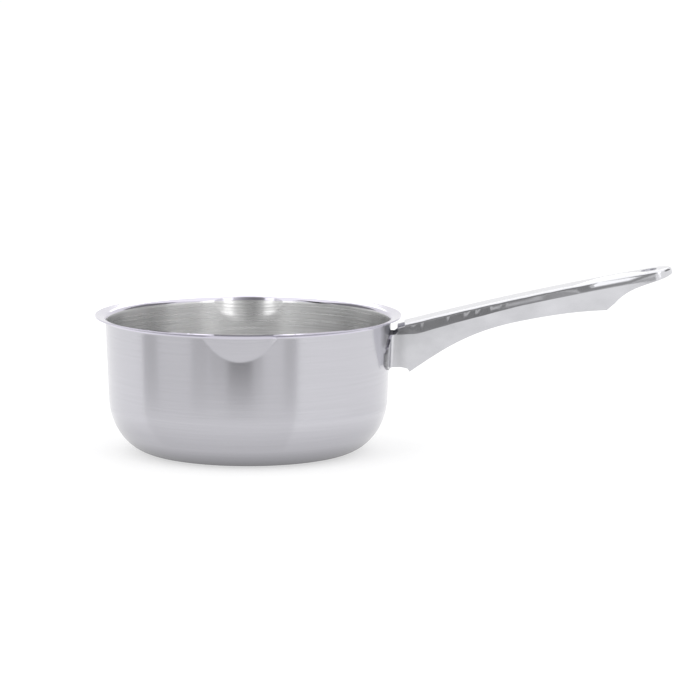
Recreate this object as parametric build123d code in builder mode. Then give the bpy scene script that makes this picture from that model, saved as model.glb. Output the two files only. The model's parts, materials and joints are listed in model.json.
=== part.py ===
from build123d import *
import os
from math import asin, atan2, cos, degrees, hypot, radians, sin, sqrt, tan

os.makedirs("parts", exist_ok=True)

# Milk pan in millimetres. +Z is up, the middle of the base is the origin and the handle points along +X.

# Pan body: a shell drawn from one disc of sheet
bore_radius = 80.0  # inside the wall, where it turns out into the rim
pan_height = 77.9  # to the top of the rim's edge
rim_width = 6.6  # from the inside of the wall to the rim's edge
pan_sheet = 0.8
wall_draft = 2.33  # degrees, so the pan narrows towards its base
corner_width = 26.8  # rounded corner between base and wall, across and up
corner_height = 30.4
corner_pull_share = 0.5523  # makes the corner's curve a quarter of an ellipse
flare_bend = 2.4  # radius under the rim
flare_rise = 12.0  # degrees, the rim rises outwards

# Pouring lips, pressed out of the wall and rim at the front and at the back
lip_punch_radius = 45.0
lip_lean = 13.4  # degrees that the pressed wall leans outwards
lip_depth = 15.7  # from the rim down to where the lip leaves the wall
lip_reach = 85.0  # centre line to the lip's straight edge
lip_offset = -1.1  # sideways place of both lips
lip_start = 8.0  # length of the punch below the place where it leaves the wall

# Handle: one pressed channel, open below, with two ears that hug the wall
handle_sheet = 1.2
handle_half_width = 11.0
handle_tip = 239.0  # reach from the pan's centre line
handle_tip_height = 106.0
web_start = 88.4  # where the handle's top begins
web_start_height = 73.7
handle_bow = 1.6  # rise of the bowed top above a straight line
edge_bend = 1.8  # outer radius between the top and the sides
facet_drop = 4.7  # top to the crease along each side
facet_lean = 7.0  # degrees, the side leans out down to the crease
skirt_depth = 27.7  # top to the lowest point of the sides
hang_hole_radius = 4.5
hang_hole_setback = 13.0  # tip to the hole's centre
notch_drop = 1.3  # top to the upper edge of the bare arms beside the pan
notch_length = 3.9  # length of those bare arms
notch_depth = 2.5  # height of their square ends
arm_top_drop = 4.7  # top to the arm's upper corner at the bend
ear_bend = 2.0  # inner radius between arm and ear
ear_reach = 20.8  # centre line to the ear's outer edge
ear_bottom_height = 47.8
ear_corner = 1.5
# Outline of the lower edge from the bend to the tip: along the handle, and down as a share of the skirt
heel_shares = ((0.0, 0.827), (0.026, 0.869), (0.046, 0.928))
grip_shares = ((0.053, 1.0), (0.117, 0.844), (0.209, 0.653), (0.351, 0.502), (0.498, 0.491), (0.644, 0.536), (0.762, 0.618))
tip_shares = ((0.791, 0.509), (0.820, 0.384), (0.853, 0.303), (0.904, 0.238), (1.0, 0.130))
# Outline of an ear: from arm to outer edge, and up from its bottom to the arm's upper corner
ear_shares = ((0.16, 0.89), (0.84, 0.69), (1.0, 0.53), (1.0, 0.27), (0.80, 0.13), (0.24, 0.0))

# Spot welds between ears and wall
weld_radius = 2.0
weld_depth = 0.4  # melted into each sheet
weld_reach = 16.7  # centre line to the welds
weld_height_shares = (0.22, 0.60)  # up the ear

overrun = 5.0  # cuts run this far past what they cut
nearness = 0.01  # edges this close to a plane lie on it

# Shape of the drawn wall, as radius and height. Inset 0 is the outside, inset pan_sheet the inside.
draft_slope = tan(radians(wall_draft))
rim_slope = tan(radians(flare_rise))
rim_radius = bore_radius + rim_width
rim_top_radius = rim_radius - pan_sheet * sin(radians(flare_rise))


def flare_corner(inset):
    """Where the lines of wall and rim would meet."""
    outward = pan_sheet - inset
    meeting_height = pan_height - (rim_top_radius - bore_radius) * rim_slope
    radius = bore_radius + outward / cos(radians(wall_draft))
    below = outward / cos(radians(flare_rise))
    level = pan_height - (rim_top_radius - radius + meeting_height * draft_slope) * rim_slope - below
    height = level / (1 - draft_slope * rim_slope)
    return radius + (height - meeting_height) * draft_slope, height


def wall_radius(height, inset=0.0):
    """Radius of the straight wall at a height."""
    radius, level = flare_corner(inset)
    return radius + (height - level) * draft_slope


def pan_outline(inset, rim_points):
    """Half section, filled from the axis to the surface at this inset."""
    lean_x = sin(radians(wall_draft))
    lean_z = cos(radians(wall_draft))
    wall_foot = Vector(wall_radius(corner_height) - inset * lean_z, corner_height + inset * lean_x)
    base_edge = Vector(wall_radius(corner_height) - corner_width, inset)
    base_pull = Vector(corner_pull_share * (corner_width - inset), 0)
    wall_pull = Vector(lean_x, lean_z) * (corner_pull_share * (corner_height - inset))
    bend = flare_bend + inset
    with BuildSketch(Plane.XZ) as outline:
        with BuildLine():
            Line((0, inset), base_edge)
            Bezier(base_edge, base_edge + base_pull, wall_foot - wall_pull, wall_foot)
            FilletPolyline(wall_foot, flare_corner(inset), rim_points[0], radius=bend)
            Polyline(*rim_points, (0, rim_points[-1][1]), (0, inset))
        make_face()
    return outline.sketch


def lip_plane(side):
    """Plane across the leaning punch of the lip on one side."""
    lean = radians(lip_lean)
    leave_height = pan_height - lip_depth
    leave_radius = wall_radius(leave_height)
    axis_y = side * (leave_radius - lip_punch_radius * cos(lean) - lip_start * sin(lean))
    axis_z = leave_height + lip_punch_radius * sin(lean) - lip_start * cos(lean)
    return Plane(origin=(lip_offset, axis_y, axis_z), x_dir=(1, 0, 0), z_dir=(0, side * sin(lean), cos(lean)))


def weld_planes():
    """One plane on the wall for each weld, facing outwards."""
    ear_height = arm_top_height - ear_bottom_height
    for side in (-1, 1):
        for share in weld_height_shares:
            height = ear_bottom_height + share * ear_height
            radius = wall_radius(height)
            along = sqrt(radius**2 - weld_reach**2)
            facing = (along / radius, side * weld_reach / radius, 0)
            yield Plane(origin=(along, side * weld_reach, height), z_dir=facing)


# The handle's top line is an arc from the web's start to the tip
chord = hypot(handle_tip - web_start, handle_tip_height - web_start_height)
chord_angle = atan2(handle_tip_height - web_start_height, handle_tip - web_start)
bow_radius = (chord**2 / 4 + handle_bow**2) / (2 * handle_bow)
bow_x = (web_start + handle_tip) / 2 + (bow_radius - handle_bow) * sin(chord_angle)
bow_z = (web_start_height + handle_tip_height) / 2 - (bow_radius - handle_bow) * cos(chord_angle)
bow_axis = Axis((bow_x, 0, bow_z), (0, 1, 0))


def top_height(x):
    """Height of the handle's top at a distance from the pan's axis."""
    return bow_z + sqrt(bow_radius**2 - (x - bow_x)**2)


def bow_plane(x):
    """Plane square to the handle at a distance from the pan's axis."""
    along = Vector(top_height(x) - bow_z, 0, bow_x - x).normalized()
    return Plane(origin=(x, 0, top_height(x)), x_dir=(0, 1, 0), z_dir=along)


# The arm ends at the bend to the ear, a little further out than the bend itself
ear_foot_radius = wall_radius(ear_bottom_height)
bend_centre = ear_foot_radius + handle_sheet + ear_bend
bend_start = sqrt(bend_centre**2 - (handle_half_width + ear_bend)**2)
arm_start = bend_start + wall_radius(web_start_height) - ear_foot_radius
arm_top_height = top_height(arm_start) - arm_top_drop


def handle_section(plane, inset, halved=False):
    """Filled section of the channel, or its half, drawn in by the inset."""
    lean = radians(facet_lean)
    web_half = handle_half_width - (facet_drop - inset) * tan(lean) - inset / cos(lean)
    skirt_half = handle_half_width - inset
    foot = -skirt_depth - overrun
    with BuildSketch(plane) as section:
        with BuildLine():
            Polyline(
                (0, -inset),
                (web_half, -inset),
                (skirt_half, -facet_drop - inset * tan(lean / 2)),
                (skirt_half, foot),
                (0, foot),
            )
            if halved:
                Line((0, foot), (0, -inset))
            else:
                mirror(about=Plane.YZ)
        make_face()
        top_corners = section.vertices().group_by(Axis.Y)[-1].filter_by(lambda corner: abs(corner.X) > inset)
        fillet(top_corners, edge_bend - inset)
    return section.sketch


def lower_edge(shares):
    """Points of the handle's lower edge in the plane of its length."""
    span = handle_tip - arm_start
    points = []
    for along, down in shares:
        x = arm_start + along * span
        points.append((x, top_height(x) - down * skirt_depth))
    return points


def handle_silhouette():
    """The handle seen from the side, past its top and its tip."""
    heel = lower_edge(heel_shares)
    grip = lower_edge(grip_shares)
    tip = lower_edge(tip_shares)
    arm_x = web_start - notch_length
    arm_height = top_height(arm_x) - notch_drop
    sky = handle_tip_height + overrun
    with BuildSketch(Plane.XZ) as silhouette:
        with BuildLine():
            Spline(*heel)
            Line(heel[-1], grip[0])
            Spline(*grip)
            Line(grip[-1], tip[0])
            Spline(*tip)
            Polyline(
                tip[-1],
                (handle_tip + overrun, tip[-1][1]),
                (handle_tip + overrun, sky),
                (web_start, sky),
                (web_start, top_height(web_start) - notch_drop),
                (arm_x, arm_height),
                (arm_x, arm_height - notch_depth),
                (arm_start, arm_top_height),
                heel[0],
            )
        make_face()
    return silhouette.sketch


def add_channel(inset, mode):
    """The bowed channel with its round end."""
    round_start = handle_tip - handle_half_width * cos(chord_angle)
    end_plane = bow_plane(round_start)
    channel_start = web_start - skirt_depth
    reach = degrees(asin((bow_x - channel_start) / bow_radius) - asin((bow_x - round_start) / bow_radius))
    revolve(handle_section(end_plane, inset), axis=bow_axis, revolution_arc=-reach, mode=mode)
    turn_axis = Axis(end_plane.origin, end_plane.y_dir)
    revolve(handle_section(end_plane, inset, halved=True), axis=turn_axis, revolution_arc=-180, mode=mode)


# Pan body
rim_low = (rim_radius, pan_height - pan_sheet * cos(radians(flare_rise)))
rim_high = (rim_top_radius, pan_height)
past_rim = (rim_top_radius + overrun, pan_height + overrun * rim_slope)
past_rim_high = (rim_top_radius + overrun, pan_height + overrun)
lip_length = lip_start + lip_depth / cos(radians(lip_lean)) + overrun

with BuildPart() as pan_body:
    revolve(pan_outline(0, (rim_low, rim_high)), axis=Axis.Z)
    for side in (-1, 1):
        with BuildSketch(lip_plane(side)):
            Circle(lip_punch_radius)
        extrude(amount=lip_length)
    split(bisect_by=Plane.XY.offset(pan_height), keep=Keep.BOTTOM)
    revolve(pan_outline(pan_sheet, (past_rim, past_rim_high)), axis=Axis.Z, mode=Mode.SUBTRACT)
    for side in (-1, 1):
        with BuildSketch(lip_plane(side)):
            Circle(lip_punch_radius - pan_sheet)
        extrude(amount=lip_length, mode=Mode.SUBTRACT)
        with BuildSketch(Plane.XY.offset(pan_height - lip_depth)):
            with Locations((lip_offset, side * (lip_reach + rim_radius))):
                Rectangle(2 * rim_radius, 2 * rim_radius)
        extrude(amount=lip_depth + overrun, mode=Mode.SUBTRACT)
    for plane in weld_planes():
        with BuildSketch(plane):
            Circle(weld_radius)
        extrude(amount=weld_depth, both=True, mode=Mode.SUBTRACT)
pan_body.part.label = "pan_body"
export_step(pan_body.part, "parts/pan_body.step")

# Arms and ears at the pan end of the handle, bent round to lie on the wall
arm_bottom = lower_edge(heel_shares)[0][1]
stock_bottom = ear_bottom_height - overrun
stock_top = arm_top_height + overrun


def wall_stock(inner, outer):
    """Half section of a ring round the wall, between two distances from its surface."""
    low = wall_radius(stock_bottom)
    high = wall_radius(stock_top)
    with BuildSketch(Plane.XZ) as stock:
        with BuildLine():
            Polyline(
                (low + inner, stock_bottom),
                (low + outer, stock_bottom),
                (high + outer, stock_top),
                (high + inner, stock_top),
                close=True,
            )
        make_face()
    return stock.sketch


def arm_plan(half_width, width):
    """A strip along each arm seen from above, from inside the wall to the arm's bare length."""
    start = arm_start - handle_half_width
    end = arm_start + notch_length / 2
    with BuildSketch(Plane.XY.offset(stock_bottom)) as plan:
        for middle in (half_width - width / 2, width / 2 - half_width):
            with Locations(((start + end) / 2, middle)):
                Rectangle(end - start, width)
    return plan.sketch


def ear_outline():
    """Arms and ears as the pan sees them."""
    reach = ear_reach - handle_half_width
    height = arm_top_height - ear_bottom_height
    points = [(handle_half_width + out * reach, ear_bottom_height + up * height) for out, up in ear_shares]
    with BuildSketch(Plane.YZ) as outline:
        with BuildLine():
            Polyline(
                (0, arm_top_height),
                (handle_half_width, arm_top_height),
                *points,
                (handle_half_width, arm_bottom),
                (0, arm_bottom),
            )
            mirror(about=Plane.YZ)
        make_face()
        past_bend = handle_half_width + ear_corner
        fillet(outline.vertices().filter_by(lambda corner: abs(corner.X) > past_bend), ear_corner)
    return outline.sketch


inner_half_width = handle_half_width - handle_sheet

with BuildPart() as ears:
    revolve(wall_stock(0, handle_sheet), axis=Axis.Z)
    extrude(arm_plan(handle_half_width, handle_sheet), amount=stock_top - stock_bottom)
    revolve(wall_stock(-ear_reach, 0), axis=Axis.Z, mode=Mode.SUBTRACT)
    extrude(arm_plan(inner_half_width, 2 * inner_half_width), amount=stock_top - stock_bottom, mode=Mode.SUBTRACT)
    for half_width, radius in ((handle_half_width, ear_bend), (inner_half_width, ear_bend + handle_sheet)):
        for place in (half_width, -half_width):
            on_side = ears.edges().filter_by_position(Axis.Y, place - nearness, place + nearness)
            fillet(on_side.sort_by(Axis.X)[0], radius)
    extrude(ear_outline(), amount=web_start, mode=Mode.INTERSECT)

# Handle
with BuildPart() as handle:
    add_channel(0, Mode.ADD)
    add_channel(handle_sheet, Mode.SUBTRACT)
    extrude(handle_silhouette(), amount=2 * handle_half_width, both=True, mode=Mode.INTERSECT)
    add(ears.part)
    hole_place = bow_plane(handle_tip - hang_hole_setback)
    with Locations(Plane(origin=hole_place.origin, x_dir=hole_place.x_dir, z_dir=hole_place.y_dir)):
        Hole(hang_hole_radius, depth=handle_sheet + overrun)
    for plane in weld_planes():
        with BuildSketch(plane):
            Circle(weld_radius)
        extrude(amount=weld_depth, both=True, mode=Mode.SUBTRACT)
handle.part.label = "handle"
export_step(handle.part, "parts/handle.step")

# Spot welds, each a lens of metal that ties an ear to the wall
with BuildPart() as spot_welds:
    for plane in weld_planes():
        with BuildSketch(plane):
            Circle(weld_radius)
        extrude(amount=weld_depth, both=True)
spot_welds.part.label = "spot_welds"
export_step(spot_welds.part, "parts/spot_welds.step")
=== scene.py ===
import json
from collections import Counter
from math import cos, pi, radians, sin, sqrt, tan
import bpy
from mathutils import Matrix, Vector

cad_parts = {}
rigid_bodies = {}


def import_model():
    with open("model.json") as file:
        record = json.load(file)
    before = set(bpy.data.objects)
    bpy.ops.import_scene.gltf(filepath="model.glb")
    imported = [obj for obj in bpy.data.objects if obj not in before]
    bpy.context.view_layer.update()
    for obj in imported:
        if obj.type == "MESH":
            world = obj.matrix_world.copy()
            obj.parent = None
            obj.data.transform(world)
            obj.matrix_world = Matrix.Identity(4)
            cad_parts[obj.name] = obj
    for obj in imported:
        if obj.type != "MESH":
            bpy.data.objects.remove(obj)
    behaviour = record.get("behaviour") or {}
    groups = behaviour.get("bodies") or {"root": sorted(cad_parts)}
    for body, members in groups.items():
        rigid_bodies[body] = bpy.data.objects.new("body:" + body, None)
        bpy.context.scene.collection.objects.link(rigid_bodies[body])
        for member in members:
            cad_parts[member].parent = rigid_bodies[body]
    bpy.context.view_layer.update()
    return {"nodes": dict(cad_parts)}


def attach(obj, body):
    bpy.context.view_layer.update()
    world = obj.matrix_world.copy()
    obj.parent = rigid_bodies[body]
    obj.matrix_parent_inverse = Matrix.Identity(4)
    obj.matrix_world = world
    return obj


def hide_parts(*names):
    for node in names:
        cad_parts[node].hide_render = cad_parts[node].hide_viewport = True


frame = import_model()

mergeDistance = 0.000001
bpy.context.scene.view_settings.view_transform = "Standard"

# Camera where the photograph was taken from
cameraView = {
    "place": (0.05756, -1.97720, 0.34111),
    "lookDown": 0.1425,  # radians below the horizon
    "roll": 0.00351,
    "lens": 181.38,
}


def addCamera(settings):
    data = bpy.data.cameras.new("photoCamera")
    data.sensor_width = 36
    data.lens = settings["lens"]
    data.clip_start = 0.05
    data.clip_end = 50
    camera = bpy.data.objects.new("photoCamera", data)
    camera.rotation_mode = "ZYX"
    camera.location = settings["place"]
    camera.rotation_euler = (pi / 2 - settings["lookDown"], 0, settings["roll"])
    bpy.context.scene.collection.objects.link(camera)
    bpy.context.scene.camera = camera


addCamera(cameraView)
print("camera ready")

# Studio: white all round, soft lamps, and dark gaps between them that stripe the steel
studio = {
    "floorSize": 12.0,
    "floorColor": (0.5, 0.5, 0.5, 1),
    "floorLift": 0.56,  # brings the lit floor up to white for the camera and in the metal
    "worldStrength": 0.95,
    "seenStrength": 1.0,
    "cardSteps": 24,  # pieces along a curved card on the floor
}
lamps = {
    "topSoftbox": {
        "azimuth": 0, "elevation": 88, "distance": 1.9, "width": 2.8, "height": 2.8, "power": 9,
    },
    "leftSoftbox": {
        "azimuth": -33, "elevation": 30, "distance": 2.2, "width": 0.55, "height": 1.3, "power": 2.6,
    },
    "rightSoftbox": {
        "azimuth": 35, "elevation": 30, "distance": 2.2, "width": 0.55, "height": 1.3, "power": 2.6,
    },
    "backSoftbox": {
        "azimuth": 180, "elevation": 32, "distance": 2.2, "width": 1.3, "height": 0.9, "power": 3.6,
    },
}
# Upright cards, seen only in the steel: azimuth from the camera's side, in degrees
uprightCards = {
    "cameraGap": {"azimuth": -5, "halfWidth": 8.5, "distance": 2.6, "low": 0.0, "high": 0.55, "shade": 0.19},
    "cameraSide": {"azimuth": 7, "halfWidth": 3.5, "distance": 2.6, "low": 0.0, "high": 0.55, "shade": 0.45},
    "cameraTop": {"azimuth": -1, "halfWidth": 8, "distance": 2.6, "low": 0.55, "high": 0.8, "shade": 0.62},
    "leftHighGap": {"azimuth": -68, "halfWidth": 9, "distance": 1.5, "low": 0.5, "high": 3.0, "shade": 0.0},
    "leftSide": {"azimuth": -107, "halfWidth": 27, "distance": 2.4, "low": 0.8, "high": 2.8, "shade": 0.27},
    "rightSide": {"azimuth": 105, "halfWidth": 27, "distance": 2.4, "low": 0.8, "high": 2.8, "shade": 0.27},
}
# A wide card high over the camera, its shades given from its left end (0) to its right end (1)
gradedCards = {
    "highDim": {
        "azimuth": -7,
        "halfWidth": 40,
        "distance": 2.6,
        "low": 0.8,
        "high": 5.0,
        "shades": (
            (0.0, 1.0), (0.113, 0.8), (0.24, 0.5), (0.34, 0.3), (0.437, 0.25), (0.528, 0.26),
            (0.619, 0.33), (0.717, 0.45), (0.83, 0.7), (1.0, 1.0),
        ),
    },
}
# Cards on the floor, seen only in the steel: each edge is left and right azimuth and distance, and shades go
# by distance
floorCards = {
    # painted shadow of the pan on the floor, close round its base
    "paintedFloorShadow": {
        "near": (-180, 180, 0.056),
        "far": (-180, 180, 0.14),
        "height": 0.0003,
        "shades": ((0.056, 0.25), (0.064, 0.52), (0.075, 0.85), (0.1, 1.02), (0.14, 1.2)),
    },
    # dimmer floor to the front left, darker close to the pan: painted shadow there
    "dimFloor": {
        "near": (-44, 19, 0.075),
        "far": (-91.5, 41, 2.9),
        "height": 0.0006,
        "shades": (
            (0.075, 0.82), (0.1, 0.94), (0.135, 1.02), (0.2, 0.96), (0.27, 0.91), (0.4, 0.91), (0.5, 0.98),
        ),
    },
    "cameraHalo": {
        "near": (-24, 12, 0.22),
        "far": (-28, 12, 1.6),
        "height": 0.0009,
        "shades": ((0.22, 0.96), (0.27, 0.83), (0.32, 0.7), (0.4, 0.66)),
    },
    "cameraStrip": {
        "near": (-14, 5, 0.22),
        "far": (-11, 4, 1.6),
        "height": 0.0012,
        "shades": ((0.22, 0.96), (0.27, 0.72), (0.32, 0.38), (0.4, 0.18)),
    },
    "leftStrip": {
        "near": (-37, -25, 0.2),
        "far": (-43, -29, 2.6),
        "height": 0.0012,
        "shades": ((0.2, 0.96), (0.26, 0.79), (0.4, 0.7)),
    },
    "rightStrip": {
        "near": (26, 33.5, 0.2),
        "far": (29, 41, 2.6),
        "height": 0.0012,
        "shades": ((0.2, 0.96), (0.26, 0.79), (0.4, 0.7)),
    },
    "farLeftStrip": {
        "near": (-76, -62.5, 0.2),
        "far": (-91, -75.5, 2.6),
        "height": 0.0012,
        "shades": ((0.2, 0.96), (0.26, 0.79), (0.4, 0.7)),
    },
}


def seenDirectly(nodes, links):
    path = nodes.new("ShaderNodeLightPath")
    reflected = nodes.new("ShaderNodeMath")
    reflected.operation = "MAXIMUM"
    links.new(path.outputs["Is Camera Ray"], reflected.inputs[0])
    links.new(path.outputs["Is Glossy Ray"], reflected.inputs[1])
    refracted = nodes.new("ShaderNodeMath")
    refracted.operation = "MAXIMUM"
    links.new(reflected.outputs[0], refracted.inputs[0])
    links.new(path.outputs["Is Transmission Ray"], refracted.inputs[1])
    return refracted.outputs[0]


def addWorld(settings):
    world = bpy.data.worlds.new("studioWorld")
    bpy.context.scene.world = world
    world.use_nodes = True
    nodes, links = world.node_tree.nodes, world.node_tree.links
    nodes.clear()
    output = nodes.new("ShaderNodeOutputWorld")
    background = nodes.new("ShaderNodeBackground")
    background.inputs["Color"].default_value = (1, 1, 1, 1)
    strength = nodes.new("ShaderNodeMapRange")
    links.new(seenDirectly(nodes, links), strength.inputs["Value"])
    strength.inputs["To Min"].default_value = settings["worldStrength"]
    strength.inputs["To Max"].default_value = settings["seenStrength"]
    links.new(strength.outputs["Result"], background.inputs["Strength"])
    links.new(background.outputs[0], output.inputs["Surface"])


def addFloor(settings):
    bpy.ops.mesh.primitive_plane_add(size=settings["floorSize"], location=(0, 0, 0))
    floor = bpy.context.object
    floor.name = "studioFloor"
    material = bpy.data.materials.new("floorPaper")
    material.use_nodes = True
    nodes, links = material.node_tree.nodes, material.node_tree.links
    nodes.clear()
    output = nodes.new("ShaderNodeOutputMaterial")
    paper = nodes.new("ShaderNodeBsdfDiffuse")
    paper.inputs["Color"].default_value = settings["floorColor"]
    lift = nodes.new("ShaderNodeEmission")
    gain = nodes.new("ShaderNodeMath")
    gain.operation = "MULTIPLY"
    gain.inputs[1].default_value = settings["floorLift"]
    links.new(seenDirectly(nodes, links), gain.inputs[0])
    links.new(gain.outputs[0], lift.inputs["Strength"])
    both = nodes.new("ShaderNodeAddShader")
    links.new(paper.outputs[0], both.inputs[0])
    links.new(lift.outputs[0], both.inputs[1])
    links.new(both.outputs[0], output.inputs["Surface"])
    floor.data.materials.append(material)


def addLamp(name, settings):
    data = bpy.data.lights.new(name, "AREA")
    data.shape = "RECTANGLE"
    data.size = settings["width"]
    data.size_y = settings["height"]
    data.energy = settings["power"]
    lamp = bpy.data.objects.new(name, data)
    azimuth, elevation = radians(settings["azimuth"]), radians(settings["elevation"])
    outward = Vector((sin(azimuth) * cos(elevation), -cos(azimuth) * cos(elevation), sin(elevation)))
    lamp.location = outward * settings["distance"]
    lamp.rotation_euler = (-outward).to_track_quat("-Z", "Y").to_euler()
    lamp.visible_camera = False
    bpy.context.scene.collection.objects.link(lamp)


def paintCard(card, shades, sideways=False):
    material = bpy.data.materials.new(card.name + "Paint")
    material.use_nodes = True
    nodes, links = material.node_tree.nodes, material.node_tree.links
    nodes.clear()
    output = nodes.new("ShaderNodeOutputMaterial")
    glow = nodes.new("ShaderNodeEmission")
    links.new(glow.outputs[0], output.inputs["Surface"])
    if len(shades) == 1:
        glow.inputs["Strength"].default_value = shades[0][1]
    else:
        place = nodes.new("ShaderNodeTexCoord")
        ramp = nodes.new("ShaderNodeFloatCurve")  # it ends at 1, so it holds half of each shade
        if sideways:
            parts = nodes.new("ShaderNodeSeparateXYZ")
            links.new(place.outputs["Object"], parts.inputs[0])
            fromLeft = nodes.new("ShaderNodeMath")
            fromLeft.operation = "ADD"
            fromLeft.inputs[1].default_value = 0.5
            links.new(parts.outputs["X"], fromLeft.inputs[0])
            links.new(fromLeft.outputs[0], ramp.inputs["Value"])
        else:
            distance = nodes.new("ShaderNodeVectorMath")
            distance.operation = "LENGTH"
            links.new(place.outputs["Object"], distance.inputs[0])
            links.new(distance.outputs["Value"], ramp.inputs["Value"])
        points = ramp.mapping.curves[0].points
        for spot, (far, shade) in enumerate(shades):
            if spot < 2:
                points[spot].location = (far, shade / 2)
            else:
                points.new(far, shade / 2)
        for point in points:
            point.handle_type = "VECTOR"
        ramp.mapping.extend = "HORIZONTAL"
        ramp.mapping.update()
        double = nodes.new("ShaderNodeMath")
        double.operation = "MULTIPLY"
        double.inputs[1].default_value = 2
        links.new(ramp.outputs[0], double.inputs[0])
        links.new(double.outputs[0], glow.inputs["Strength"])
    card.data.materials.append(material)
    card.visible_camera = False
    card.visible_diffuse = False
    card.visible_shadow = False


def addCard(name, settings):
    width = 2 * settings["distance"] * tan(radians(settings["halfWidth"]))
    height = settings["high"] - settings["low"]
    azimuth = radians(settings["azimuth"])
    place = (
        sin(azimuth) * settings["distance"],
        -cos(azimuth) * settings["distance"],
        settings["low"] + height / 2,
    )
    bpy.ops.mesh.primitive_plane_add(size=1, location=place, rotation=(pi / 2, 0, azimuth))
    card = bpy.context.object
    card.name = name
    card.scale = (width, height, 1)
    if "shades" in settings:
        paintCard(card, settings["shades"], True)
    else:
        paintCard(card, ((0, settings["shade"]),))


def addFloorCard(name, settings):
    corners = []
    faces = []
    steps = studio["cardSteps"]
    for left, right, distance in (settings["near"], settings["far"]):
        for i in range(steps + 1):
            azimuth = radians(left + (right - left) * i / steps)
            corners.append((sin(azimuth) * distance, -cos(azimuth) * distance, settings["height"]))
    for i in range(steps):
        faces.append((i, i + 1, steps + i + 2, steps + i + 1))
    mesh = bpy.data.meshes.new(name)
    mesh.from_pydata(corners, [], faces)
    card = bpy.data.objects.new(name, mesh)
    bpy.context.scene.collection.objects.link(card)
    paintCard(card, settings["shades"])


addWorld(studio)
addFloor(studio)
for lampName, lampSettings in lamps.items():
    addLamp(lampName, lampSettings)
for cardName, cardSettings in (uprightCards | gradedCards).items():
    addCard(cardName, cardSettings)
for cardName, cardSettings in floorCards.items():
    addFloorCard(cardName, cardSettings)
print("studio ready")

# Brushed lines: across and along are per metre, and round is 1 where they run round the pan
brushSettings = {
    "satinOutside": {
        "across": 1500, "along": 22, "tone": 0.02, "rough": 0.03, "depth": 0.0000006, "round": 1,
    },
    "brushedInside": {
        "across": 900, "along": 16, "tone": 0.14, "rough": 0.08, "depth": 0.000002, "round": 1,
    },
    "polishedRim": {
        "across": 1800, "along": 20, "tone": 0.015, "rough": 0.02, "depth": 0.0000003, "round": 1,
    },
    "polishedHandle": {
        "across": 60, "along": 40, "tone": 0.04, "rough": 0.04, "depth": 0.000002, "round": 0,
    },
    "weldMetal": {
        "across": 900, "along": 900, "tone": 0.2, "rough": 0.1, "depth": 0.00002, "round": 0,
    },
}
# Ringed steel stretches its highlights across the lines that run round the pan
steelColors = {
    "satinOutside": {
        "color": (0.53, 0.525, 0.56, 1), "roughness": 0.2, "anisotropic": 0.3, "ringed": True,
    },
    "brushedInside": {
        "color": (0.7, 0.7, 0.7, 1), "roughness": 0.3, "anisotropic": 0.9, "ringed": True,
    },
    "polishedRim": {
        "color": (0.63, 0.61, 0.69, 1), "roughness": 0.12, "anisotropic": 0.0, "ringed": False,
    },
    "polishedHandle": {
        "color": (0.69, 0.69, 0.72, 1), "roughness": 0.14, "anisotropic": 0.0, "ringed": False,
    },
    "weldMetal": {
        "color": (0.45, 0.45, 0.45, 1), "roughness": 0.5, "anisotropic": 0.0, "ringed": False,
    },
}
# Noise behind the lines: low and high are the values between which it moves
brushNoise = {
    "detail": 3,
    "roughness": 0.6,
    "low": 0.3,
    "high": 0.7,
}


def makeBrushGroup():
    group = bpy.data.node_groups.new("brushLines", "ShaderNodeTree")
    for name in ("Across", "Along", "Round"):
        group.interface.new_socket(name=name, in_out="INPUT", socket_type="NodeSocketFloat")
    group.interface.new_socket(name="Lines", in_out="OUTPUT", socket_type="NodeSocketFloat")
    nodes, links = group.nodes, group.links
    inside = nodes.new("NodeGroupInput")
    outside = nodes.new("NodeGroupOutput")
    place = nodes.new("ShaderNodeTexCoord")
    parts = nodes.new("ShaderNodeSeparateXYZ")
    links.new(place.outputs["Object"], parts.inputs[0])
    flat = nodes.new("ShaderNodeCombineXYZ")
    links.new(parts.outputs["X"], flat.inputs["X"])
    links.new(parts.outputs["Y"], flat.inputs["Y"])
    radius = nodes.new("ShaderNodeVectorMath")
    radius.operation = "LENGTH"
    links.new(flat.outputs[0], radius.inputs[0])
    turned = nodes.new("ShaderNodeMath")
    turned.operation = "MULTIPLY_ADD"  # radius counts on a round piece only
    links.new(radius.outputs["Value"], turned.inputs[0])
    links.new(inside.outputs["Round"], turned.inputs[1])
    links.new(parts.outputs["Z"], turned.inputs[2])
    across = nodes.new("ShaderNodeMath")
    across.operation = "MULTIPLY"
    links.new(turned.outputs[0], across.inputs[0])
    links.new(inside.outputs["Across"], across.inputs[1])
    along = nodes.new("ShaderNodeVectorMath")
    along.operation = "SCALE"
    links.new(flat.outputs[0], along.inputs[0])
    links.new(inside.outputs["Along"], along.inputs["Scale"])
    stretched = nodes.new("ShaderNodeSeparateXYZ")
    links.new(along.outputs[0], stretched.inputs[0])
    joined = nodes.new("ShaderNodeCombineXYZ")
    links.new(stretched.outputs["X"], joined.inputs["X"])
    links.new(stretched.outputs["Y"], joined.inputs["Y"])
    links.new(across.outputs[0], joined.inputs["Z"])
    noise = nodes.new("ShaderNodeTexNoise")
    noise.inputs["Scale"].default_value = 1
    noise.inputs["Detail"].default_value = brushNoise["detail"]
    noise.inputs["Roughness"].default_value = brushNoise["roughness"]
    links.new(joined.outputs[0], noise.inputs["Vector"])
    links.new(noise.outputs["Fac"], outside.inputs["Lines"])
    return group


brushGroup = makeBrushGroup()
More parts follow.
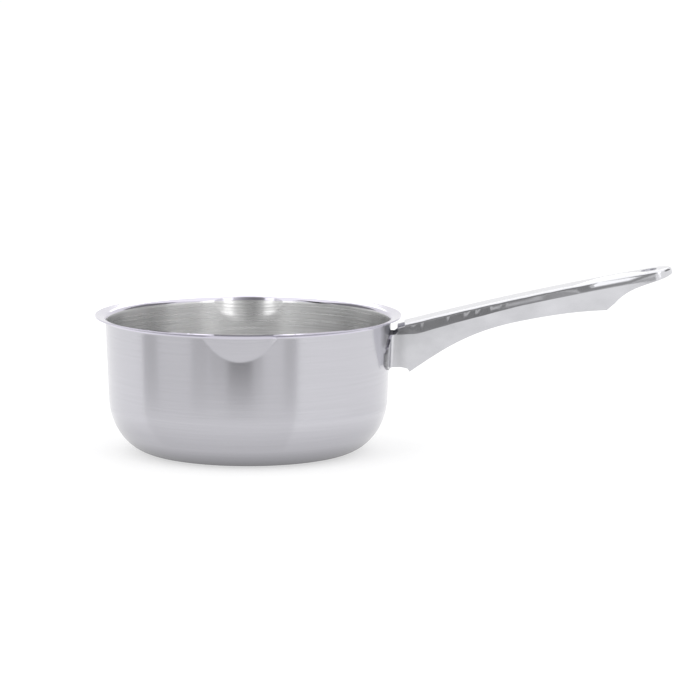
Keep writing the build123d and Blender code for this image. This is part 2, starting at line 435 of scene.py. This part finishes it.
# Heat tint by the welds, with painted shade and painted dark reflections where the handle meets the pan: how
# bright the metal is, by distance from the pan's middle
heatTintAndPaintedShade = {
    "polishedHandle": (
        (0.0, 0.12), (0.0779, 0.12), (0.0784, 0.95), (0.08, 0.8), (0.0806, 0.25), (0.0814, 0.35),
        (0.082, 0.95), (0.0862, 0.85), (0.0868, 0.3), (0.0892, 0.35), (0.0897, 1.0), (0.3, 1.0),
    ),
    "satinOutside": ((0.0, 1.0), (0.0772, 1.0), (0.0779, 0.25), (0.09, 0.25)),
}
# Below these heights a share of the heat tint and painted shade stays
tintAndShadeHeight = {
    "from": 0.062,
    "to": 0.064,
    "shareBelow": {"polishedHandle": 1, "satinOutside": 0},
}


# heat tint, with painted shade and painted dark reflections, darkens the tone by place near the pan
def paintShadeAndTintNearPan(nodes, links, tone, name):
    place = nodes.new("ShaderNodeTexCoord")
    parts = nodes.new("ShaderNodeSeparateXYZ")
    links.new(place.outputs["Object"], parts.inputs[0])
    ramp = nodes.new("ShaderNodeFloatCurve")
    points = ramp.mapping.curves[0].points
    for spot, (x, bright) in enumerate(heatTintAndPaintedShade[name]):
        if spot < 2:
            points[spot].location = (x, bright)
        else:
            points.new(x, bright)
    for point in points:
        point.handle_type = "VECTOR"
    ramp.mapping.update()
    links.new(parts.outputs["X"], ramp.inputs["Value"])
    # the wall gets its heat tint and painted shade behind the arms only
    height = nodes.new("ShaderNodeMapRange")
    height.inputs["From Min"].default_value = tintAndShadeHeight["from"]
    height.inputs["From Max"].default_value = tintAndShadeHeight["to"]
    height.inputs["To Min"].default_value = tintAndShadeHeight["shareBelow"][name]
    height.inputs["To Max"].default_value = 1
    links.new(parts.outputs["Z"], height.inputs["Value"])
    product = nodes.new("ShaderNodeMath")
    product.operation = "MULTIPLY"
    links.new(tone, product.inputs[0])
    links.new(ramp.outputs[0], product.inputs[1])
    mix = nodes.new("ShaderNodeMix")
    mix.data_type = "FLOAT"
    links.new(height.outputs["Result"], mix.inputs["Factor"])
    links.new(tone, mix.inputs["A"])
    links.new(product.outputs[0], mix.inputs["B"])
    return mix.outputs["Result"]


def makeSteel(name):
    look = steelColors[name]
    material = bpy.data.materials.new(name)
    material.use_nodes = True
    nodes, links = material.node_tree.nodes, material.node_tree.links
    shader = nodes["Principled BSDF"]
    shader.inputs["Metallic"].default_value = 1
    shader.inputs["Base Color"].default_value = look["color"]
    shader.inputs["Roughness"].default_value = look["roughness"]
    shader.inputs["Anisotropic"].default_value = look["anisotropic"]
    if look["ringed"]:
        tangent = nodes.new("ShaderNodeTangent")
        tangent.direction_type = "RADIAL"
        tangent.axis = "Z"
        links.new(tangent.outputs["Tangent"], shader.inputs["Tangent"])
        shader.inputs["Anisotropic Rotation"].default_value = 0.25  # a quarter turn
    brush = brushSettings[name]
    lines = nodes.new("ShaderNodeGroup")
    lines.node_tree = brushGroup
    lines.inputs["Across"].default_value = brush["across"]
    lines.inputs["Along"].default_value = brush["along"]
    lines.inputs["Round"].default_value = brush["round"]
    tone = nodes.new("ShaderNodeMapRange")
    tone.inputs["From Min"].default_value = brushNoise["low"]
    tone.inputs["From Max"].default_value = brushNoise["high"]
    tone.inputs["To Min"].default_value = 1 - brush["tone"]
    tone.inputs["To Max"].default_value = 1 + brush["tone"]
    links.new(lines.outputs["Lines"], tone.inputs["Value"])
    tinted = nodes.new("ShaderNodeVectorMath")
    tinted.operation = "SCALE"
    tinted.inputs[0].default_value = look["color"][:3]
    # near the pan: heat tint with painted shade and painted reflections
    if name in heatTintAndPaintedShade:
        links.new(paintShadeAndTintNearPan(nodes, links, tone.outputs["Result"], name), tinted.inputs["Scale"])
    else:
        links.new(tone.outputs["Result"], tinted.inputs["Scale"])
    links.new(tinted.outputs[0], shader.inputs["Base Color"])
    rough = nodes.new("ShaderNodeMapRange")
    rough.inputs["From Min"].default_value = brushNoise["low"]
    rough.inputs["From Max"].default_value = brushNoise["high"]
    rough.inputs["To Min"].default_value = look["roughness"] + brush["rough"]
    rough.inputs["To Max"].default_value = look["roughness"] - brush["rough"]
    links.new(lines.outputs["Lines"], rough.inputs["Value"])
    links.new(rough.outputs["Result"], shader.inputs["Roughness"])
    scratches = nodes.new("ShaderNodeBump")
    scratches.inputs["Strength"].default_value = 1
    scratches.inputs["Distance"].default_value = brush["depth"]
    links.new(lines.outputs["Lines"], scratches.inputs["Height"])
    links.new(scratches.outputs["Normal"], shader.inputs["Normal"])
    return material


steels = {name: makeSteel(name) for name in steelColors}
print("steels ready")

# Pan shell, in metres: the outside of the drawn sheet, ring by ring from the base up
panShell = {
    "around": 384,
    "baseRadius": 0.052124,
    "cornerWidth": 0.0268,
    "cornerHeight": 0.0304,
    "cornerPull": 0.5523,
    "cornerRings": 20,
    "draft": radians(2.33),
    "wallRings": 3,
    "lipZoneStart": 0.056,
    "lipZoneRings": 12,
    "bendRadius": 0.0024,
    "bendRings": 8,
    "flareRise": radians(12),
    "rimRadius": 0.0866,
    "rimHeight": 0.077117,
    "flareRings": 4,
    "sheet": 0.0008,
    "edgeRound": 0.00018,  # at most: the bevel's overlap limit leaves about a tenth of it
    "edgeSegments": 3,
    "edgeAngle": radians(50),  # edges sharper than this are rounded
    "smoothAngle": radians(40),
    "rimBand": 0.0022,  # polished, down from the rim's edge
}
# Pouring lips: a round punch leans against the wall at the front and at the back
lipPunch = {
    "radius": 0.045,
    "lean": radians(13.4),
    "leaveHeight": 0.0622,
    "offset": -0.0011,
    "below": 0.012,
    "above": 0.03,
    "reach": 0.006,
    "around": 360,
    "straightEdge": 0.085,  # the lip's edge is straight here
    "zoneHalfWidth": 0.031,
    "zoneStart": 0.057,
    "zoneDepth": 0.06,  # this far from the middle of the pan, to the front or back
    "cuts": 2,
    # front is -1 and back is 1, then how often it is smoothed, and up to which height
    "smoothing": ((-1, 2, 1), (1, 2, 1), (1, 24, 0.0705)),
    "smoothMargin": 0.002,
}


def wallRadius(height):
    s = panShell
    return s["baseRadius"] + s["cornerWidth"] + (height - s["cornerHeight"]) * tan(s["draft"])


def panProfile():
    s = panShell
    points = []
    foot = Vector((s["baseRadius"], 0.0))
    head = Vector((s["baseRadius"] + s["cornerWidth"], s["cornerHeight"]))
    pullFoot = foot + Vector((s["cornerPull"] * s["cornerWidth"], 0))
    pullHead = head - Vector((sin(s["draft"]), cos(s["draft"]))) * s["cornerPull"] * s["cornerHeight"]
    for i in range(s["cornerRings"] + 1):
        t = i / s["cornerRings"]
        points.append(
            foot * (1 - t) ** 3
            + pullFoot * 3 * t * (1 - t) ** 2
            + pullHead * 3 * t * t * (1 - t)
            + head * t ** 3
        )
    # where wall and flare lines would meet, and the arc that rounds it
    rise, draft = s["flareRise"], s["draft"]
    slopeWall, slopeFlare = tan(draft), tan(rise)
    overhang = s["rimRadius"] - wallRadius(0)
    meetHeight = (s["rimHeight"] - overhang * slopeFlare) / (1 - slopeWall * slopeFlare)
    meet = Vector((wallRadius(meetHeight), meetHeight))
    turn = pi / 2 - draft - rise
    tangentLength = s["bendRadius"] * tan(turn / 2)
    bendStart = meet - Vector((sin(draft), cos(draft))) * tangentLength
    centre = bendStart + Vector((cos(draft), -sin(draft))) * s["bendRadius"]
    for i in range(1, s["wallRings"] + 1):
        height = s["cornerHeight"] + (s["lipZoneStart"] - s["cornerHeight"]) * i / s["wallRings"]
        points.append(Vector((wallRadius(height), height)))
    for i in range(1, s["lipZoneRings"] + 1):
        height = s["lipZoneStart"] + (bendStart.y - s["lipZoneStart"]) * i / s["lipZoneRings"]
        points.append(Vector((wallRadius(height), height)))
    for i in range(1, s["bendRings"] + 1):
        angle = turn * i / s["bendRings"]
        arm = Vector((-cos(draft + angle), sin(draft + angle))) * s["bendRadius"]
        points.append(centre + arm)
    last = points[-1].copy()
    edge = Vector((s["rimRadius"], s["rimHeight"]))
    for i in range(1, s["flareRings"] + 1):
        points.append(last.lerp(edge, i / s["flareRings"]))
    return points


def selectWhere(mesh, test):
    bpy.ops.object.mode_set(mode="OBJECT")
    for thing in list(mesh.polygons) + list(mesh.edges) + list(mesh.vertices):
        thing.select = False
    for vertex in mesh.vertices:
        vertex.select = test(vertex.co)
    bpy.ops.object.mode_set(mode="EDIT")
    bpy.context.tool_settings.mesh_select_mode = (True, False, False)


def selectParts(mesh, kind, test):
    # edges or faces whose corners all together pass the test
    selectWhere(mesh, lambda co: False)
    edges = kind == "edges"
    bpy.context.tool_settings.mesh_select_mode = (False, edges, not edges)
    bpy.ops.object.mode_set(mode="OBJECT")
    for part in mesh.edges if edges else mesh.polygons:
        part.select = test([mesh.vertices[i].co for i in part.vertices])
    bpy.ops.object.mode_set(mode="EDIT")


def applyModifiers(piece):
    bpy.context.view_layer.objects.active = piece
    for modifier in list(piece.modifiers):
        bpy.ops.object.modifier_apply(modifier=modifier.name)


def drawShell(profile):
    bpy.ops.object.select_all(action="DESELECT")
    first = profile[0]
    bpy.ops.mesh.primitive_circle_add(
        vertices=panShell["around"], radius=first.x, fill_type="NGON", location=(0, 0, first.y)
    )
    shell = bpy.context.object
    shell.name = "panShell"
    bpy.ops.object.transform_apply(location=True, rotation=True, scale=True)
    bpy.ops.object.mode_set(mode="EDIT")
    bpy.context.tool_settings.mesh_select_mode = (False, True, False)
    bpy.ops.mesh.select_all(action="SELECT")
    before = first
    for point in profile[1:]:
        bpy.ops.mesh.extrude_edges_move(TRANSFORM_OT_translate={"value": (0, 0, point.y - before.y)})
        grow = point.x / before.x
        bpy.ops.transform.resize(value=(grow, grow, 1), center_override=(0, 0, 0))
        before = point
    bpy.ops.object.mode_set(mode="OBJECT")
    return shell


def addPunch(side):
    s = lipPunch
    leaveRadius = wallRadius(s["leaveHeight"])
    lean = s["lean"]
    length = s["below"] + s["above"]
    along = Vector((0, side * sin(lean), cos(lean)))
    touch = Vector((s["offset"], side * leaveRadius, s["leaveHeight"]))
    axis = touch - Vector((0, side * cos(lean), -sin(lean))) * s["radius"]
    middle = axis + along * (length / 2 - s["below"])
    bpy.ops.mesh.primitive_cylinder_add(
        vertices=s["around"],
        radius=s["radius"],
        depth=length,
        location=middle,
        rotation=(-side * lean, 0, 0),
    )
    return bpy.context.object


def lipZone(side, margin=0.0):
    s = lipPunch

    def test(co):
        near = abs(co.x - s["offset"]) < s["zoneHalfWidth"] - margin
        return near and side * co.y > s["zoneDepth"] and co.z > s["zoneStart"] + margin

    return test


def pressLips(shell):
    s = lipPunch
    for side in (-1, 1):
        selectWhere(shell.data, lipZone(side))
        bpy.ops.mesh.subdivide(number_cuts=s["cuts"], smoothness=0)
        bpy.ops.object.mode_set(mode="OBJECT")
    punches = [addPunch(side) for side in (-1, 1)]
    for side, punch in zip((-1, 1), punches):
        press = shell.modifiers.new("lipPress", "SHRINKWRAP")
        press.target = punch
        press.wrap_method = "PROJECT"
        press.use_project_y = True
        press.use_positive_direction = side > 0
        press.use_negative_direction = side < 0
        press.project_limit = s["reach"]
    bpy.ops.object.select_all(action="DESELECT")
    shell.select_set(True)
    applyModifiers(shell)
    for punch in punches:
        bpy.data.objects.remove(punch)
    bpy.context.view_layer.objects.active = shell
    for side, times, top in s["smoothing"]:
        inZone = lipZone(side, s["smoothMargin"])
        selectWhere(shell.data, lambda co: inZone(co) and co.z < top)
        bpy.ops.mesh.vertices_smooth(factor=0.5, repeat=times)
        bpy.ops.object.mode_set(mode="OBJECT")
    for side in (-1, 1):
        # the rim is cut straight above each lip
        selectWhere(shell.data, lambda co: True)
        bpy.ops.mesh.bisect(
            plane_co=(0, side * s["straightEdge"], 0),
            plane_no=(0, side, 0),
            clear_outer=True,
            threshold=mergeDistance,
        )
        bpy.ops.object.mode_set(mode="OBJECT")


def finishShell(shell):
    s = panShell
    shell.data.materials.clear()
    for name in ("satinOutside", "brushedInside", "polishedRim"):
        shell.data.materials.append(steels[name])
    rimFrom = s["rimHeight"] - s["rimBand"]
    for face in shell.data.polygons:
        face.material_index = 2 if face.center.z > rimFrom else 0
    bpy.ops.object.mode_set(mode="EDIT")
    bpy.ops.mesh.select_all(action="SELECT")
    bpy.ops.mesh.remove_doubles(threshold=mergeDistance)
    bpy.ops.mesh.normals_make_consistent(inside=False)
    bpy.ops.object.mode_set(mode="OBJECT")
    # the base faces down, so the whole outside faces outwards
    base = min(shell.data.polygons, key=lambda face: face.center.z)
    if base.normal.z > 0:
        bpy.ops.object.mode_set(mode="EDIT")
        bpy.ops.mesh.flip_normals()
        bpy.ops.object.mode_set(mode="OBJECT")
    sheet = shell.modifiers.new("sheet", "SOLIDIFY")
    sheet.thickness = s["sheet"]
    sheet.offset = -1
    sheet.use_even_offset = True
    sheet.material_offset = 1
    sheet.material_offset_rim = 2
    softEdge = shell.modifiers.new("softEdge", "BEVEL")
    softEdge.width = s["edgeRound"]
    softEdge.segments = s["edgeSegments"]
    softEdge.limit_method = "ANGLE"
    softEdge.angle_limit = s["edgeAngle"]
    applyModifiers(shell)
    bpy.ops.object.select_all(action="DESELECT")
    shell.select_set(True)
    bpy.ops.object.shade_smooth_by_angle(angle=s["smoothAngle"])


shell = drawShell(panProfile())
pressLips(shell)
finishShell(shell)
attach(shell, "root")
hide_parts("pan_body")
print("pan shell ready", len(shell.data.polygons))

# Handle: the solid's own shape, with its side facets deepened towards the pan
handleShape = {
    "tip": (0.239, 0.106),
    "webStart": (0.0884, 0.0737),
    "bow": 0.0016,
    "halfWidth": 0.011,
    "sheet": 0.0012,
    "creaseDrop": 0.0047,
    "facetTop": 0.0016,
    "sideOut": 0.0094,
    "sideTop": 0.0014,
    "sheetShare": 1.3,  # of the sheet's thickness, so the drop takes its inside along
    "fade": 0.006,
    # how much deeper the crease lies, by distance from the pan's middle
    "deeper": (
        (0.0845, 0.0), (0.0885, 0.0008), (0.093, 0.0019), (0.097, 0.0022), (0.108, 0.0017),
        (0.119, 0.0012), (0.131, 0.0009), (0.142, 0.0004), (0.153, 0.0),
    ),
    "stationFrom": 0.0845,
    "stationTo": 0.153,
    "stations": 23,
    "edgeRound": 0.00018,  # at most: the bevel's overlap limit leaves almost nothing of it
    "edgeSegments": 2,
    "edgeAngle": radians(45),  # edges sharper than this are rounded
    "smoothAngle": radians(35),
    "evenWeight": 80,
    "roundTopFrom": 0.09,  # the round top's own shine starts here
}
# Rounded bend between top and sides, where it is laid out anew near the tip
bendShape = {
    "start": 0.00883,
    "radius": 0.0018,
    "foot": 0.001583,
    "rows": (0.19705, 0.2127, 0.22835),
    "rowSpread": 0.0004,
    "rowEnd": 0.0004,
    "footReach": 0.004,
    "footOut": 0.0106,
    "flatAngle": radians(0.02),
}
# How close a corner has to be to count as lying on a line or surface
closeness = {
    "same": 0.0000001,
    "start": 0.00001,
    "line": 0.00002,
    "top": 0.00005,
    "crease": 0.00008,
    "belowCrease": 0.0001,
}


def extraDrop(x):
    points = handleShape["deeper"]
    for (x0, d0), (x1, d1) in zip(points, points[1:]):
        if x0 <= x <= x1:
            t = (x - x0) / (x1 - x0)
            return d0 + (d1 - d0) * t * t * (3 - 2 * t)
    return 0.0


def copyNode(name):
    bpy.ops.object.select_all(action="DESELECT")
    node = frame["nodes"][name]
    node.select_set(True)
    bpy.context.view_layer.objects.active = node
    bpy.ops.object.duplicate(linked=False)
    copy = bpy.context.object
    bpy.ops.object.parent_clear(type="CLEAR_KEEP_TRANSFORM")
    bpy.ops.object.transform_apply(location=True, rotation=True, scale=True)
    bpy.ops.object.mode_set(mode="EDIT")
    bpy.ops.mesh.select_all(action="SELECT")
    bpy.ops.mesh.remove_doubles(threshold=mergeDistance)
    bpy.ops.object.mode_set(mode="OBJECT")
    return copy


def webDepth(co):
    # how far below the handle's bowed top a place lies
    s = handleShape
    (tipX, tipZ), (startX, startZ) = s["tip"], s["webStart"]
    span = Vector((tipX - startX, tipZ - startZ))
    radius = (span.length ** 2 / 4 + s["bow"] ** 2) / (2 * s["bow"])
    middle = Vector((startX + tipX, startZ + tipZ)) / 2
    centre = middle + Vector((span.y, -span.x)) * (radius - s["bow"]) / span.length
    return radius - (Vector((co.x, co.z)) - centre).length


def dropShare(co):
    # grows down the facet to the crease, then fades out within the flat side
    s = handleShape
    depth = webDepth(co)
    if abs(co.y) < s["halfWidth"] - s["sheetShare"] * s["sheet"] or depth < s["facetTop"]:
        return 0.0
    if depth <= s["creaseDrop"]:
        return (depth - s["facetTop"]) / (s["creaseDrop"] - s["facetTop"])
    return max(0.0, 1 - (depth - s["creaseDrop"] - closeness["belowCrease"]) / s["fade"])


def bendRow(mesh, x, side):
    # the corners across the rounded bend at one place along the handle
    s = bendShape
    found = []
    for vertex in mesh.vertices:
        out = side * vertex.co.y - s["start"]
        down = webDepth(vertex.co) - s["radius"]
        onArc = abs(sqrt(out * out + down * down) - s["radius"]) < closeness["line"]
        outside = out > -closeness["start"] and down < -s["rowEnd"]
        if abs(vertex.co.x - x) < s["rowSpread"] and outside and onArc:
            found.append(vertex.co.copy())
    return found


def bendFoot(mesh, x, side):
    # the corner just past a row where the bend meets the side facet
    s = bendShape
    for vertex in mesh.vertices:
        atFoot = abs(webDepth(vertex.co) - s["foot"]) < closeness["line"]
        if atFoot and side * vertex.co.y > s["footOut"] and x < vertex.co.x < x + s["footReach"]:
            return vertex.co.copy()


def allAmong(corners, places):
    return all(any((co - place).length < closeness["same"] for place in places) for co in corners)


def isClosed(mesh):
    uses = Counter(key for face in mesh.polygons for key in face.edge_keys)
    return len(uses) == len(mesh.edges) and all(count == 2 for count in uses.values())


def evenBend(handle):
    # even strips in place of the bend's long triangles near the tip, or False if these lie otherwise
    s = bendShape
    mesh = handle.data
    for side in (-1, 1):
        for start, end in zip(s["rows"], s["rows"][1:]):
            first, last = bendRow(mesh, start, side), bendRow(mesh, end, side)
            foot = bendFoot(mesh, start, side)
            if len(first) < 2 or len(last) < 2 or foot is None:
                return False
            strip = first + last + [foot]
            selectParts(mesh, "faces", lambda corners: allAmong(corners, strip))
            bpy.ops.mesh.delete(type="FACE")
            selectParts(mesh, "edges", lambda ends: allAmong(ends, first) or allAmong(ends, last))
            bpy.ops.object.mode_set(mode="OBJECT")
            if sum(edge.select for edge in mesh.edges) != len(first) + len(last) - 2:
                return False
            bpy.ops.object.mode_set(mode="EDIT")
            bpy.ops.mesh.bridge_edge_loops()
            bpy.ops.object.mode_set(mode="OBJECT")
    bpy.ops.object.mode_set(mode="EDIT")
    bpy.ops.mesh.select_all(action="DESELECT")
    bpy.ops.mesh.select_non_manifold()
    bpy.ops.mesh.fill_holes(sides=4)
    bpy.ops.mesh.select_all(action="SELECT")
    bpy.ops.mesh.normals_make_consistent(inside=False)
    bpy.ops.mesh.dissolve_limited(angle_limit=s["flatAngle"], delimit={"NORMAL"})
    bpy.ops.object.mode_set(mode="OBJECT")
    return isClosed(mesh)


def onSide(co):
    return abs(co.y) > handleShape["sideOut"] and webDepth(co) > handleShape["sideTop"]


def shapeHandle(handle):
    s = handleShape
    for i in range(s["stations"] + 1):
        x = s["stationFrom"] + (s["stationTo"] - s["stationFrom"]) * i / s["stations"]
        # only the sides are cut, so the top keeps its shine
        selectWhere(handle.data, onSide)
        bpy.ops.mesh.bisect(plane_co=(x, 0, 0), plane_no=(1, 0, 0), threshold=mergeDistance)
    bpy.ops.object.mode_set(mode="OBJECT")
    deeper = handle.vertex_groups.new(name="deeper")
    most = max(drop for x, drop in s["deeper"])
    for vertex in handle.data.vertices:
        share = extraDrop(vertex.co.x) * min(1.0, dropShare(vertex.co)) / most
        if share > 0:
            deeper.add([vertex.index], share, "REPLACE")
    press = handle.modifiers.new("deeperCrease", "DISPLACE")
    press.direction = "Z"
    press.mid_level = 0
    press.strength = -most
    press.vertex_group = "deeper"
    applyModifiers(handle)


def isCrease(ends):
    # the crease as it lay before it was deepened
    s = handleShape
    before = [Vector((co.x, co.y, co.z + extraDrop(co.x))) for co in ends]
    atSide = all(abs(abs(co.y) - s["halfWidth"]) < closeness["line"] for co in ends)
    return atSide and all(abs(webDepth(co) - s["creaseDrop"]) < closeness["crease"] for co in before)


def finishHandle(handle):
    s = handleShape
    handle.data.materials.clear()
    handle.data.materials.append(steels["polishedHandle"])
    bpy.ops.object.select_all(action="DESELECT")
    handle.select_set(True)
    bpy.context.view_layer.objects.active = handle
    selectParts(handle.data, "edges", isCrease)
    bpy.ops.mesh.mark_sharp()
    bpy.ops.object.mode_set(mode="OBJECT")
    softEdge = handle.modifiers.new("softEdge", "BEVEL")
    softEdge.width = s["edgeRound"]
    softEdge.segments = s["edgeSegments"]
    softEdge.limit_method = "ANGLE"
    softEdge.angle_limit = s["edgeAngle"]
    softEdge.use_clamp_overlap = True
    applyModifiers(handle)
    bpy.ops.object.shade_smooth_by_angle(angle=s["smoothAngle"], keep_sharp_edges=True)
    evenSides = handle.modifiers.new("evenSides", "WEIGHTED_NORMAL")
    evenSides.keep_sharp = True
    evenSides.weight = s["evenWeight"]
    # the rounded top keeps the drawn shape's own normals
    top = handle.vertex_groups.new(name="top")
    highest = s["facetTop"] + closeness["top"]
    chosen = [
        vertex.index
        for vertex in handle.data.vertices
        if webDepth(vertex.co) < highest and vertex.co.x > s["roundTopFrom"]
    ]
    top.add(chosen, 1, "REPLACE")
    evenShine = handle.modifiers.new("evenShine", "DATA_TRANSFER")
    evenShine.object = frame["nodes"]["handle"]
    evenShine.use_loop_data = True
    evenShine.data_types_loops = {"CUSTOM_NORMAL"}
    evenShine.loop_mapping = "POLYINTERP_NEAREST"
    evenShine.vertex_group = "top"
    applyModifiers(handle)
    handle.vertex_groups.clear()


handle = copyNode("handle")
bendDone = evenBend(handle)
if not bendDone:
    bpy.data.objects.remove(handle)
    handle = copyNode("handle")
handle.name = "handleChannel"
print("bend laid out anew", bendDone)
shapeHandle(handle)
finishHandle(handle)
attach(handle, "root")
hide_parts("handle")
print("handle ready", len(handle.data.polygons))

welds = frame["nodes"]["spot_welds"]
for slot in welds.material_slots:
    slot.material = steels["weldMetal"]
print("welds finished")
